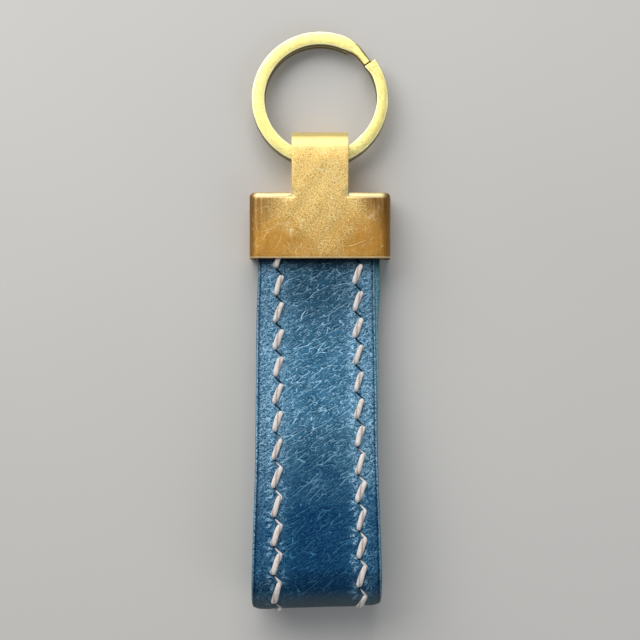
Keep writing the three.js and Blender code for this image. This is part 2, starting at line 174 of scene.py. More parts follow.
class Graph:
    """A node material that is built up one node at a time."""

    def __init__(self, name):
        self.material = bpy.data.materials.new(name)
        self.material.use_nodes = True
        self.tree = self.material.node_tree
        self.shader = self.tree.nodes["Principled BSDF"]

    def node(self, kind, inputs=None, **settings):
        made = self.tree.nodes.new(kind)
        for key, value in settings.items():
            setattr(made, key, value)
        for key, value in (inputs or {}).items():
            self.feed(made.inputs[key], value)
        return made

    def feed(self, socket, value):
        if isinstance(value, bpy.types.NodeSocket):
            self.tree.links.new(value, socket)
        elif socket.type == "RGBA":
            socket.default_value = (*value, 1)
        else:
            socket.default_value = value

    def math(self, operation, *values, clamp=False):
        made = self.node("ShaderNodeMath", operation=operation, use_clamp=clamp)
        for socket, value in zip(made.inputs, values):
            self.feed(socket, value)
        return made.outputs[0]

    def chain(self, operation, first, *others):
        for value in others:
            first = self.math(operation, first, value)
        return first

    def times(self, *values):
        return self.chain("MULTIPLY", *values)

    def plus(self, *values):
        return self.chain("ADD", *values)

    def largest(self, *values):
        return self.chain("MAXIMUM", *values)

    def vector_math(self, operation, a, b):
        return self.node("ShaderNodeVectorMath", {0: a, 1: b}, operation=operation).outputs[0]

    def mix(self, factor, a, b, blend="MIX"):
        made = self.node("ShaderNodeMix", data_type="RGBA", blend_type=blend)
        self.feed(made.inputs["Factor"], factor)
        colour = [socket for socket in made.inputs if socket.type == "RGBA"]
        self.feed(colour[0], a)
        self.feed(colour[1], b)
        return [socket for socket in made.outputs if socket.type == "RGBA"][0]

    def over(self, base, colour, *amounts):
        """A colour laid over the base, by the product of the amounts."""
        return self.mix(self.times(*amounts), base, colour)

    def remap(self, value, low, high, to_low=0.0, to_high=1.0):
        inputs = {"Value": value, "From Min": low, "From Max": high}
        inputs.update({"To Min": to_low, "To Max": to_high})
        return self.node("ShaderNodeMapRange", inputs).outputs["Result"]

    def millimetres(self):
        """Object coordinates in millimetres."""
        return self.moved(self.node("ShaderNodeTexCoord").outputs["Object"], 0, (1000, 1000, 1000))

    def flat(self):
        """The leather's own coordinates, in millimetres across and along the strip."""
        return self.node("ShaderNodeTexCoord").outputs["UV"]

    def moved(self, vector, turn=0.0, stretch=(1, 1, 1), shift=(0, 0, 0)):
        """The coordinates shifted, turned and then multiplied by stretch along the turned axes."""
        inputs = {"Vector": vector, "Location": shift, "Rotation": (0, 0, math.radians(turn))}
        inputs["Scale"] = [1 / part for part in stretch]
        return self.node("ShaderNodeMapping", inputs, vector_type="TEXTURE").outputs["Vector"]

    def axes(self, vector):
        return self.node("ShaderNodeSeparateXYZ", {"Vector": vector}).outputs

    def noise(self, vector, scale, detail, roughness=0.55):
        inputs = {"Vector": vector, "Scale": scale, "Detail": detail, "Roughness": roughness}
        return self.node("ShaderNodeTexNoise", inputs).outputs["Fac"]

    def patches(self, vector, scale, low, high, detail):
        """Soft-edged patches: 0 where a noise is under low, 1 where it is over high."""
        return self.remap(self.noise(vector, scale, detail), low, high)

    def nearness(self, away, reach):
        """1 where a distance is 0, with a smooth fall to 0 at its reach."""
        near = self.remap(away, 0.0, reach, 1.0, 0.0)
        return self.times(near, near, self.math("MULTIPLY_ADD", near, -2.0, 3.0))

    def contours(self, vector, scale, half_width):
        """Wandering lines: 1 on the middle level of a noise, falling to 0 about half_width mm away."""
        level = self.noise(vector, scale, 0.0, 0.5)
        away = self.math("ABSOLUTE", self.math("SUBTRACT", level, 0.5))
        return self.nearness(away, half_width * scale * 0.6)

    def cells(self, vector, scale, half_width, wander):
        """The edges of an irregular net of cells, as thin lines and as the wide ridges under them."""
        drift = self.node("ShaderNodeTexNoise", {"Vector": vector, "Scale": 1.1 * scale, "Detail": 1.0})
        centred = self.vector_math("SUBTRACT", drift.outputs["Color"], (0.5, 0.5, 0.5))
        moved = self.vector_math("MULTIPLY", centred, (wander, wander, 0))
        place = self.vector_math("ADD", vector, moved)
        net = self.node("ShaderNodeTexVoronoi", {"Vector": place, "Scale": scale},
                        feature="DISTANCE_TO_EDGE", voronoi_dimensions="2D")
        away = net.outputs["Distance"]
        line = self.nearness(away, half_width * scale)
        return line, self.nearness(away, RIDGE_WIDTH * half_width * scale)

    def band(self, value, low, high, soft):
        """1 between low and high, falling to 0 within soft of either."""
        rise = self.remap(value, low - soft, low)
        return self.times(rise, self.remap(value, high, high + soft, 1.0, 0.0))

    def bump(self, height, depth):
        inputs = {"Height": height, "Strength": 1.0, "Distance": depth}
        return self.node("ShaderNodeBump", inputs).outputs["Normal"]

    def turned(self, normal, before, after):
        """A normal taken from one space to another."""
        return self.node("ShaderNodeVectorTransform", {"Vector": normal}, vector_type="NORMAL",
                         convert_from=before, convert_to=after).outputs[0]

    def attribute(self, name):
        return self.node("ShaderNodeAttribute", attribute_name=name).outputs["Fac"]

    def set(self, **values):
        for key, value in values.items():
            self.feed(self.shader.inputs[key.replace("_", " ")], value)


def scratches(g, where):
    """Curved hairline scratches in all directions, each broken into short strokes."""
    strokes = []
    for k in range(7):
        place = g.moved(where, 29 * k + 11, (1, 0.4, 1), (7.3 * k, 2.1 * k, 3.7 * k))
        line = g.contours(place, 0.30 + 0.04 * k, 0.035)
        gate = g.patches(place, 0.30 + 0.05 * k, 0.56, 0.64, 1.0)
        strokes.append(g.times(line, gate))
    return g.largest(*strokes)


def clip_material():
    """Worn brass sheet: speckled neck, a rubbed middle, darker sides with painted shade on the right
    bend, bends polished by use and painted paler as part of their highlight, and a painted highlight
    over painted shade at the mouth's edge.
    """
    g = Graph("clip_brass")
    where = g.millimetres()
    x, y, z = g.axes(where)
    from_middle = g.math("ABSOLUTE", x)
    sideways = g.remap(from_middle, 1.5, 12.5)
    towards_neck = g.remap(y, MOUTH + 3.0, MOUTH + 15.0)
    cloud = g.patches(where, 0.30, 0.3, 0.7, 4.0)
    rubbed = g.plus(towards_neck, g.times(sideways, -0.62), g.times(cloud, 0.45))
    rubbed = g.math("ADD", rubbed, 0.08, clamp=True)
    speckle = g.noise(g.moved(where, 35, (0.8, 1.25, 1)), 3.8, 1.5, 0.7)
    coarse = g.noise(where, 2.3, 2.0, 0.6)
    marks = scratches(g, where)
    front = g.remap(z, CLIP_HEIGHT - 3.2, CLIP_HEIGHT - 2.2)
    fold = g.times(g.remap(y, MOUTH + NECK_TOP - 4.9, MOUTH + NECK_TOP - 2.9), front)
    shoulder = g.band(y, MOUTH + CLIP_LENGTH - 1.0, MOUTH + CLIP_LENGTH + 0.3, 0.25)
    shoulder = g.times(shoulder, g.remap(from_middle, NECK_HALF - 0.9, NECK_HALF - 0.1), front)
    shoulder = g.times(shoulder, g.remap(from_middle, CLIP_HALF - 0.6, CLIP_HALF - 1.6))
    worn = g.largest(fold, shoulder)
    base = g.mix(rubbed, (0.72, 0.36, 0.065), (1.0, 0.68, 0.22))
    grit = g.remap(speckle, 0.48, 0.66)
    base = g.over(base, (1.0, 0.88, 0.46), grit, g.remap(rubbed, 0.0, 0.55, 0.20, 0.95))
    pit = g.remap(speckle, 0.47, 0.34)
    base = g.over(base, (0.46, 0.23, 0.04), pit, g.remap(rubbed, 0.0, 0.55, 0.25, 0.80))
    base = g.over(base, (0.56, 0.28, 0.05), g.remap(coarse, 0.50, 0.36), 0.15)
    streaks = g.noise(g.moved(where, 0, (2.2, 0.12, 1)), 1.0, 3.0, 0.6)
    at_side = g.remap(from_middle, CLIP_HALF - 5.0, CLIP_HALF - 1.5)
    base = g.over(base, (0.42, 0.21, 0.045), g.remap(streaks, 0.42, 0.62), at_side, 0.5)
    base = g.over(base, (1.0, 0.90, 0.56), marks)
    corner = g.remap(g.plus(y, g.times(from_middle, 0.7)), MOUTH + 14.2, MOUTH + 19.5)
    corner = g.times(corner, g.remap(from_middle, 6.5, 10.0), g.remap(streaks, 0.30, 0.62, 0.55, 1.0))
    base = g.over(base, (0.22, 0.10, 0.035), corner, g.remap(x, -1, 1, 0.72, 0.95))
    edge = g.remap(from_middle, CLIP_HALF - 1.7, CLIP_HALF - 0.4)
    base = g.over(base, (0.32, 0.16, 0.035), edge, g.remap(grit, 0.0, 1.0, 0.8, 0.5))
    # painted shade: the right side bend is darkened, as it is turned away from the light
    base = g.over(base, (0.28, 0.12, 0.02), g.remap(x, 9.5, 13.5), 0.40)
    # paler neck fold and shoulder bends: partly polish from use, partly a painted highlight
    base = g.over(base, (0.82, 0.70, 0.31), fold, 0.85)
    base = g.over(base, (0.84, 0.74, 0.42), shoulder, 0.85)
    # painted highlight along the rounded edge of the mouth
    lip = g.band(y, MOUTH + 0.12, MOUTH + 0.34, 0.10)
    base = g.over(base, (1.0, 0.88, 0.56), lip, 0.6)
    # painted shade on the sheet's end face at the mouth
    base = g.over(base, (0.16, 0.07, 0.015), g.remap(y, MOUTH + 0.16, MOUTH + 0.02), 0.85)
    hairline = g.band(y, MOUTH + NECK_TOP - 1.0, MOUTH + NECK_TOP - 0.85, 0.08)
    base = g.over(base, (0.55, 0.40, 0.14), hairline, 0.45)
    rough = g.plus(g.remap(speckle, 0.3, 0.7, 0.42, 0.52), g.times(rubbed, 0.05), g.times(worn, 0.05))
    height = g.plus(speckle, g.times(coarse, 0.3), g.times(marks, -0.15))
    height = g.times(height, g.remap(worn, 0.0, 1.0, 1.0, 0.15))
    g.set(Base_Color=base, Metallic=1.0, Roughness=rough, Normal=g.bump(height, 0.00005))
    return g.material


def ring_material():
    """Bright, nearly lemon brass wire with fine pits, a painted highlight along its edges, and painted
    shade on its walls, on the sides of its step and at its butt.
    """
    g = Graph("ring_brass")
    where = g.millimetres()
    cloud = g.patches(where, 0.35, 0.35, 0.65, 4.0)
    pits = g.remap(g.noise(where, 3.4, 2.0, 0.6), 0.34, 0.42, 1.0, 0.0)
    fine = g.noise(where, 6.5, 2.0, 0.6)
    marks = g.times(scratches(g, where), 0.6)
    facing = g.node("ShaderNodeNewGeometry").outputs["Normal"]
    up = g.axes(g.turned(facing, "WORLD", "OBJECT"))[2]
    wall = g.remap(g.math("ABSOLUTE", up), 0.92, 0.4)
    base = g.mix(cloud, (0.92, 0.78, 0.27), (0.96, 0.87, 0.34))
    step = g.attribute("step")
    from_middle = g.math("ABSOLUTE", g.attribute("radial"))
    mottle = g.noise(where, 1.9, 2.0, 0.6)
    base = g.over(base, (0.80, 0.70, 0.28), g.remap(mottle, 0.42, 0.64, 0.0, 0.4))
    base = g.over(base, (0.62, 0.44, 0.14), pits, 0.45)
    base = g.over(base, (1.0, 0.97, 0.66), marks, 0.5)
    # pale edges along the wire: partly worn bevels, partly a painted highlight
    base = g.over(base, (1.0, 0.98, 0.62), g.remap(from_middle, 0.66, 0.88, 0.0, 0.7))
    # painted shade on the sides of the sloping step
    flank = g.times(g.remap(from_middle, 0.40, 0.85), g.remap(step, 0.3, 1.0))  # of the sloping step
    base = g.over(base, (0.40, 0.27, 0.085), flank, 0.75)
    # painted shade: faces that turn sideways, the wire's walls, are darkened as they fall in shade
    base = g.over(base, (0.20, 0.13, 0.03), wall, 0.95)
    # painted shade at the wire's butt
    base = g.over(base, (0.05, 0.028, 0.01), g.attribute("butt_shade"))
    rough = g.plus(g.remap(fine, 0.3, 0.7, 0.30, 0.42), g.times(pits, 0.1))
    height = g.plus(g.times(fine, 0.8), g.times(pits, -0.7), g.times(marks, -0.3))
    level = g.times(step, g.remap(up, 0.76, 0.88), 0.9)
    tip = 0.03  # the step's face is shaded as if it were nearly flat, tipped this little
    flat_face = (-tip, math.sin(RING_LEAN + tip), math.cos(RING_LEAN + tip))
    normal = g.mix(level, g.bump(height, 0.00005), g.turned(flat_face, "OBJECT", "WORLD"))
    g.set(Base_Color=base, Metallic=1.0, Roughness=rough, Normal=normal)
    return g.material


def screw_material():
    """Turned brass, duller than the sheet."""
    g = Graph("screw_brass")
    where = g.millimetres()
    cloud = g.patches(where, 0.7, 0.35, 0.65, 3.0)
    fine = g.noise(where, 9.0, 2.0, 0.6)
    marks = scratches(g, where)
    base = g.mix(cloud, (0.52, 0.30, 0.09), (0.86, 0.60, 0.24))
    base = g.over(base, (1.0, 0.86, 0.5), marks, 0.4)
    g.set(Base_Color=base, Metallic=1.0, Roughness=g.remap(fine, 0.3, 0.7, 0.3, 0.46))
    g.set(Normal=g.bump(g.plus(fine, g.times(marks, -0.5)), 0.00004))
    return g.material


# Nets of creases: turn in degrees, cells per mm, half width in mm, stretch along the crease,
# threshold of the patches that break the net up, strength near the clip and far from it.
CREASES = (
    (-27, 1.45, 0.068, 0.36, 0.515, 0.66, 0.15),
    (-20, 2.20, 0.074, 0.52, 0.515, 0.50, 0.28),
    (-31, 0.90, 0.068, 0.24, 0.50, 0.90, 0.55),
    (-48, 0.75, 0.072, 0.22, 0.56, 0.40, 0.70),
)
# Nets of cracks where the leather is rubbed: cells per mm, half width in mm, strength.
CRACKS = ((1.5, 0.095, 1.0), (2.6, 0.08, 0.9))


def leather_creases(g, flat, wear, near_clip, fades):
    """Thin pale crease lines, and the wide soft ridges that they run along."""
    creases, ridges = 0.0, 0.0
    for turn, scale, half_width, stretch, gate_low, above, below in CREASES:
        place = g.moved(flat, turn, (stretch, 1.0, 1), (3.1 * scale, 0.37 * turn, 0))
        line, ridge = g.cells(place, scale, half_width, 0.6 / scale)
        gate = g.remap(g.noise(place, 0.9 * scale, 1.0), gate_low, gate_low + 0.07)
        strength = g.times(gate, g.remap(near_clip, 0.0, 1.0, below, above))
        creases = g.largest(creases, g.times(line, strength))
        ridges = g.largest(ridges, g.times(ridge, strength))
    rubbed = g.math("ADD", g.times(wear, 1.9), g.times(fades, near_clip, 0.15), clamp=True)
    for scale, half_width, share in CRACKS:
        line, ridge = g.cells(flat, scale, half_width, 1.3 / scale)
        strength = g.times(rubbed, g.patches(flat, scale, 0.45, 0.57, 1.0), share)
        creases = g.largest(creases, g.times(line, strength))
        ridges = g.largest(ridges, g.times(ridge, strength, 0.6))
    pulled = g.cells(g.moved(flat, -16, (0.4, 1, 1)), 2.3, 0.11, 0.4)[0]
    return g.largest(creases, g.times(pulled, g.remap(wear, 0.42, 0.72))), ridges


def painted_light_along(g, across, along, from_apex):
    """Painted light along the strap: a painted shadow by the clip, a painted sheen a third of the way
    along, and painted shade just before the fold.
    """
    tone = g.times(g.remap(along, 13.0, 8.0), -0.28)
    tone = g.plus(tone, g.times(g.band(along, 19.0, 31.0, 6.0), 0.30))
    inward = g.remap(g.math("ABSOLUTE", across), 9.0, 5.5, 0.25, 1.0)
    tone = g.plus(g.times(tone, inward), 1.0)
    tone = g.times(tone, g.remap(g.band(from_apex, 6.4, 8.0, 2.4), 0.0, 1.0, 1.0, 0.62))
    return g.node("ShaderNodeCombineColor", {0: tone, 1: tone, 2: tone}).outputs[0]


def leather_material(name, deep, mid, pale, faint, shift=0.0):
    """Waxed pull-up leather: its colour turns pale wherever the grain is creased or rubbed, and painted
    sheen, shade, shadow and highlights are laid into it.
    """
    g = Graph(name)
    flat = g.moved(g.flat(), shift=(shift, shift, 0))
    across, along = g.axes(g.flat())[:2]
    wear = g.attribute("wear")
    side = g.attribute("side")
    drift = g.patches(flat, 0.09, 0.3, 0.7, 3.0)
    near_clip = g.remap(g.plus(along, g.times(drift, 10.0)), 40.0, 56.0, 1.0, 0.0)
    fades = g.patches(flat, 0.28, 0.40, 0.62, 3.0)
    pebble = g.noise(g.moved(flat, -25, (0.75, 1.1, 1)), 2.7, 1.0, 0.6)
    grain = g.noise(flat, 4.5, 2.0, 0.6)
    creases, ridges = leather_creases(g, flat, wear, near_clip, fades)
    creases = g.times(creases, g.remap(side, 0.2, 0.8, 1.0, 0.08))
    # near the clip the leather is painted lighter: partly a paler dye, partly a painted sheen
    dark = g.mix(near_clip, deep, tinted(mid, 0.58))
    light = g.mix(near_clip, tinted(deep, 1.1, mid, 0.27), tinted(mid, 1.20))
    dye_and_painted_light = g.mix(g.remap(pebble, 0.38, 0.60), dark, light)
    dye_and_painted_light = g.over(dye_and_painted_light, tinted(mid, 1.6), fades, g.remap(near_clip, 0.0, 1.0, 0.05, 0.35))
    dye_and_painted_light = g.over(dye_and_painted_light, tinted(mid, 2.0), wear, g.remap(near_clip, 0.0, 1.0, 0.10, 0.30))
    # painted shade: the colour is darkened along the wide ridge round each crease line
    dye_and_painted_light = g.over(dye_and_painted_light, tinted(mid, 0.40), ridges, 0.35)
    bright = g.math("ADD", near_clip, g.remap(wear, 0.15, 0.8), clamp=True)
    colour = g.mix(creases, dye_and_painted_light, g.mix(bright, faint, pale))
    # a pale fringe along the edges: partly wear, partly a painted highlight
    colour = g.over(colour, pale, g.remap(wear, 0.80, 0.90), 0.45)
    fibres = g.noise(g.moved(flat, 0, (2.2, 0.7, 1)), 1.6, 3.0, 0.7)
    fibres = g.remap(fibres, 0.35, 0.65)
    burnished = g.mix(fibres, tinted(mid, 0.6), tinted(mid, 1.3, pale, 0.15))
    colour = g.over(colour, burnished, g.remap(side, 0.5, 0.9, 0.0, 0.8))
    colour = g.over(colour, tinted(deep, 0.25), g.attribute("depth"), 0.8)
    # painted shadow of the clip's mouth on the leather, darkest at the mouth
    colour = g.over(colour, tinted(deep, 0.15), g.remap(along, 3.4, 0.6, 0.0, 0.85))
    from_apex = g.math("ABSOLUTE", g.math("SUBTRACT", along, GLUE_LENGTH / 2))
    colour = g.mix(1.0, colour, painted_light_along(g, across, along, from_apex), "MULTIPLY")
    # near-black painted shade down in the stitch slits
    colour = g.over(colour, (0.0006, 0.0025, 0.004), g.attribute("cut"))
    # painted grey-blue sheen round the fold
    at_fold = g.remap(from_apex, 6.4, 3.8)
    colour = g.over(colour, (0.080, 0.112, 0.118), at_fold, 0.8)
    height = g.plus(g.times(pebble, 0.7), g.times(grain, 0.2), g.times(ridges, 1.6))
    rough = g.plus(g.remap(grain, 0.3, 0.7, 0.46, 0.62), g.times(at_fold, -0.08))
    g.set(Base_Color=colour, Roughness=rough, Normal=g.bump(height, 0.00016))
    g.set(Specular_IOR_Level=0.05)
    return g.material


def thread_material():
    """Waxed linen: fibres that wind with the plies, with painted shade down in the grooves between them.
    """
    g = Graph("thread_linen")
    fibres = g.noise(g.moved(g.flat(), 0, (7, 1.1, 1)), 1.5, 4.0, 0.7)
    soil = g.patches(g.millimetres(), 0.8, 0.45, 0.7, 3.0)
    strand = g.remap(fibres, 0.36, 0.62)
    clean = g.mix(strand, (0.62, 0.52, 0.48), (1.0, 0.98, 0.94))
    colour = g.over(clean, (0.64, 0.49, 0.45), soil, 0.30)
    # painted shade in the grooves between the plies
    colour = g.over(colour, (0.24, 0.15, 0.15), g.attribute("groove"), 0.85)
    g.set(Base_Color=colour, Roughness=0.75, Normal=g.bump(fibres, 0.0001))
    g.set(Sheen_Weight=0.2, Sheen_Roughness=0.5, Specular_IOR_Level=0.25)
    return g.material


def floor_material():
    """Plain pale grey, barely uneven."""
    g = Graph("floor_paint")
    tone = g.noise(g.millimetres(), 0.009, 2.0)
    g.set(Base_Color=g.mix(tone, (0.60, 0.59, 0.575), (0.66, 0.65, 0.635)), Roughness=0.85)
    g.set(Specular_IOR_Level=0.2)
    return g.material


CLIP_BRASS = clip_material()
RING_BRASS = ring_material()
SCREW_BRASS = screw_material()
THREAD = thread_material()

# ---- Mesh helpers ----


def mesh_object(name, points, faces, material, attributes, uvs=None, sharp=0):
    """points in metres; attributes are floats, one a point; uvs one pair a point."""
    mesh = bpy.data.meshes.new(name)
    mesh.from_pydata([tuple(p) for p in points], [], faces)
    mesh.materials.append(material)
    if uvs is not None:
        layer = mesh.uv_layers.new(name="flat")
        corner = np.empty(len(mesh.loops), dtype=np.int64)
        mesh.loops.foreach_get("vertex_index", corner)
        layer.data.foreach_set("uv", np.asarray(uvs, np.float32)[corner].ravel())
    for key, values in attributes.items():
        made = mesh.attributes.new(key, "FLOAT", "POINT")
        made.data.foreach_set("value", np.asarray(values, np.float32))
    mesh.validate()
    mesh.shade_smooth()
    if sharp:
        mesh.set_sharp_from_angle(angle=math.radians(sharp))
    return added(name, mesh)


def tube_faces(rows, columns, start=0, flip=False):
    """Quads between closed rings of points, and a face over each end of the tube."""
    faces = []
    for i in range(rows - 1):
        for j in range(columns):
            a, b = i * columns + j, i * columns + (j + 1) % columns
            faces.append((a, b, b + columns, a + columns))
    last = (rows - 1) * columns
    faces.append(tuple(range(columns))[::-1])
    faces.append(tuple(range(last, last + columns)))
    if flip:
        faces = [face[::-1] for face in faces]
    return [tuple(start + v for v in face) for face in faces]


def modified(made, kind, **settings):
    """Adds a modifier to an object and applies it to the mesh."""
    modifier = made.modifiers.new(kind.lower(), kind)
    for key, value in settings.items():
        setattr(modifier, key, value)
    bpy.context.view_layer.update()
    graph = bpy.context.evaluated_depsgraph_get()
    mesh = bpy.data.meshes.new_from_object(made.evaluated_get(graph))
    made.modifiers.clear()
    old, made.data = made.data, mesh
    bpy.data.meshes.remove(old)


# ---- Leather: everything is placed by its distance along the glue line ----


def bezier(a, b, c, d, count):
    """Points along a cubic curve from a to d, with handles b and c."""
    t = np.linspace(0, 1, count)[:, None]
    a, b, c, d = (np.array(p, float) for p in (a, b, c, d))
    return (1 - t) ** 3 * a + 3 * (1 - t) ** 2 * t * b + 3 * (1 - t) * t**2 * c + t**3 * d


def glue_line():
    """Points (y, z) of the glue line, from the clamped upper end round to the clamped lower end."""
    middle = CLIP_HEIGHT / 2
    upper, lower = middle + GLUE_RISE, middle - GLUE_RISE
    outside = (LOOP_TOP - LOOP_BOTTOM) / 2
    fold_y, fold_z = outside - LOOP_LENGTH, LOOP_BOTTOM + outside
    radius = outside - LAYER_OUT
    span, down = -STRAIGHT - fold_y, -STRAIGHT - SETTLE
    angles = np.linspace(math.pi / 2, 3 * math.pi / 2, 200)
    parts = [
        np.linspace((CLAMPED, upper), (-STRAIGHT, upper), 60),
        bezier(
            (-STRAIGHT, upper), (-STRAIGHT - span * 0.4, upper),
            (fold_y + span * 0.45, fold_z + radius), (fold_y, fold_z + radius), 400),
        np.column_stack([fold_y + radius * np.cos(angles), fold_z + radius * np.sin(angles)]),
        np.linspace((fold_y, fold_z - radius), (down, fold_z - radius), 200),
        bezier(
            (down, fold_z - radius), (down + SETTLE / 2, fold_z - radius),
            (-STRAIGHT - SETTLE / 2, lower), (-STRAIGHT, lower), 100),
        np.linspace((-STRAIGHT, lower), (CLAMPED, lower), 60),
    ]
    points = np.concatenate([parts[0]] + [part[1:] for part in parts[1:]])
    steps = np.linalg.norm(np.diff(points, axis=0), axis=1)
    return points, np.concatenate([[0], np.cumsum(steps)]) - CLAMPED


GLUE, GLUE_AT = glue_line()
GLUE_LENGTH = GLUE_AT[-1] - CLAMPED
TANGENTS = np.gradient(GLUE, GLUE_AT, axis=0)


def from_mouth(along):
    """Distance from the nearer end of the loop, which is symmetric about its fold."""
    return np.minimum(along, GLUE_LENGTH - along)


def place(along, x, out):
    """A point of the strap in millimetres: along the glue line, across, and out of the loop."""
    along, x, out = np.broadcast_arrays(*(np.asarray(v, float) for v in (along, x, out)))
    y, z = (np.interp(along, GLUE_AT, GLUE[:, k]) for k in (0, 1))
    y = y + FOLD_SKEW * x * smooth(from_mouth(along), 40, 68)
    ty, tz = (np.interp(along, GLUE_AT, TANGENTS[:, k]) for k in (0, 1))
    size = np.hypot(ty, tz)
    return np.stack([x, y + out * tz / size, z - out * ty / size], axis=-1)


def left_edge(along):
    """The strap widens a little from the clip to the fold, more on its left side than on its right."""
    s = from_mouth(along)
    return -(LEFT_HALF + 0.35 * smooth(s, 0, 15) + 0.7 * smooth(s, 38, 72))


def right_edge(along):
    s = from_mouth(along)
    return RIGHT_HALF + 0.3 * smooth(s, 0, 35) + 0.75 * smooth(s, 35, 68)


def lining_left(along):
    return left_edge(along) + LINING_SHIFT


def lining_right(along):
    """The lining stands out past the outer leather here, most of all by the clip."""
    s = from_mouth(along)
    shifted = right_edge(along) + LINING_SHIFT
    return shifted + 0.5 * (1 - smooth(s, 6, 15)) + 0.4 * (1 - smooth(s, 20, 36))


class Row:
    """A row of stitches: where its holes are along the strap, and how far across each lies."""

    def __init__(self, name, start, end, first, pitch):
        """start and end are how far across it lies at the clip and at the fold."""
        self.name, self.start, self.end = name, start, end
        count = int((GLUE_LENGTH - 2 * first) / pitch) + 1
        self.holes = first + pitch * np.arange(count)

    def x(self, along):
        return self.start + (self.end - self.start) * smooth(from_mouth(along), 0, 70)


ROWS = [Row("left", -8.4, -8.65, -3.0, 5.55), Row("right", 7.6, 8.25, -5.2, 5.5)]

HOLE_REACH = 3.2  # nothing is marked by a hole farther off than this
SLIT_HALF = 1.2
SLIT_WIDTH = 0.21
SLIT_DEPTH = 0.5
EDGE_ROUND = 0.4
BACK_ROUND = 0.3
FOLD_ROUND = 2.2  # the fold's corners are worn rounder, over FOLD_REACH to either side of it
FOLD_REACH = 5.5
FINE_STEP = 0.13  # between rows of the outer leather's mesh
COARSE_STEP = 0.5  # the same for the lining
CREASE_IN = 0.55  # the line pressed in beside each edge


def wrinkles(along, x):
    """Slow unevenness of the leather, in millimetres."""
    total = np.zeros(np.broadcast(along, x).shape)
    for k in range(10):
        angle = rng.uniform(0, math.pi)
        wave = rng.uniform(0.25, 1.2)
        phase = rng.uniform(0, 2 * math.pi)
        total += np.sin(wave * (x * math.cos(angle) + along * math.sin(angle)) + phase) / (1 + 2 * wave)
    return total * 0.03


def outer_relief(along, x, left, right):
    """Height of the outer face over its flat shape, and how worn, pressed-in and cut it is there."""
    inside = np.minimum(x - left, right - x)
    slit = np.zeros_like(x)
    height = wrinkles(along, x)
    wear = 0.9 * bell(inside, 0.45)
    pressed = bell(inside - CREASE_IN, 0.13)
    height -= 0.07 * pressed
    for row in ROWS:  # the thread pulls a shallow groove, and the margin outside it is rubbed
        across = x - row.x(along)
        height -= 0.2 * bell(across, 0.75)
        wear = np.maximum(wear, 0.3 * bell(across, 2.6))
        outside = across if row.start > 0 else -across
        margin = 0.42 - 0.16 * smooth(from_mouth(along), 30, 55)
        wear = np.maximum(wear, margin * smooth(outside, 0.2, 1.6))
        for hole in row.holes:
            near = np.abs(along[:, 0] - hole) < HOLE_REACH
            if not near.any():
                continue
            dx, ds = across[near], along[near] - hole
            lengthwise = (dx + ds) / math.sqrt(2)  # the slits are punched at 45 degrees
            sideways = (ds - dx) / math.sqrt(2)
            reach = 1 - smooth(np.abs(lengthwise), SLIT_HALF * 0.8, SLIT_HALF * 1.15)
            cut = np.clip(1 - np.abs(sideways) / SLIT_WIDTH, 0, 1) * reach
            lip = bell(np.abs(sideways) - 0.38, 0.2) * reach
            height[near] += -SLIT_DEPTH * cut + 0.07 * lip
            slit[near] = np.maximum(slit[near], 1.3 * cut)
            span = np.hypot(dx, ds * 0.8)  # small rays of wear round each hole
            ray = 0.5 + 0.5 * np.cos(9 * np.arctan2(ds, dx) + hole)
            near_hole = np.exp(-((span - 1.5) ** 2) / 1.1)
            near_hole *= 1 - 0.35 * smooth(dx + 0.5 * ds, -0.5, 1.0)
            wear[near] = np.maximum(wear[near], 0.80 * near_hole * (0.35 + 0.65 * ray))
            height[near] += 0.035 * near_hole * (ray - 0.5)
    return height, np.clip(wear, 0, 1), np.clip(pressed, 0, 1), np.clip(slit, 0, 1)


def rounded(inside, radius):
    """How far a rounded edge has dropped, at a distance in from the edge."""
    left_over = np.clip(radius - inside, 0, None)
    return radius - np.sqrt(np.clip(radius**2 - left_over**2, 0, None))


def spaced(low, high, step):
    """Evenly spaced numbers from low to high, about a step apart."""
    return np.linspace(low, high, max(2, int(round((high - low) / step)) + 1))


def stations_across(detailed):
    """Places across the strip, from -1 to 1, closest together at its edges."""
    if not detailed:
        return np.unique(np.concatenate([np.linspace(-1, 1, 33), np.linspace(0.9, 1, 15)]))
    half = np.unique(np.concatenate([
        spaced(-1, -0.955, 0.009), spaced(-0.955, -0.79, 0.033), spaced(-0.79, -0.56, 0.0085),
        spaced(-0.56, 0, 0.035)]))
    return np.unique(np.concatenate([half, -half]))


def stations_along(step):
    """Places along the strip, closest together where the photo shows it."""
    turn_back = GLUE_LENGTH / 2 + 12  # from here on the strip is on the underside
    return np.unique(np.concatenate([
        spaced(-CLAMPED + 0.05, -1, 1.2), spaced(-1, turn_back, step),
        spaced(turn_back, GLUE_LENGTH + 1, max(step, 0.3)),
        spaced(GLUE_LENGTH + 1, GLUE_LENGTH + CLAMPED - 0.05, 1.2)]))


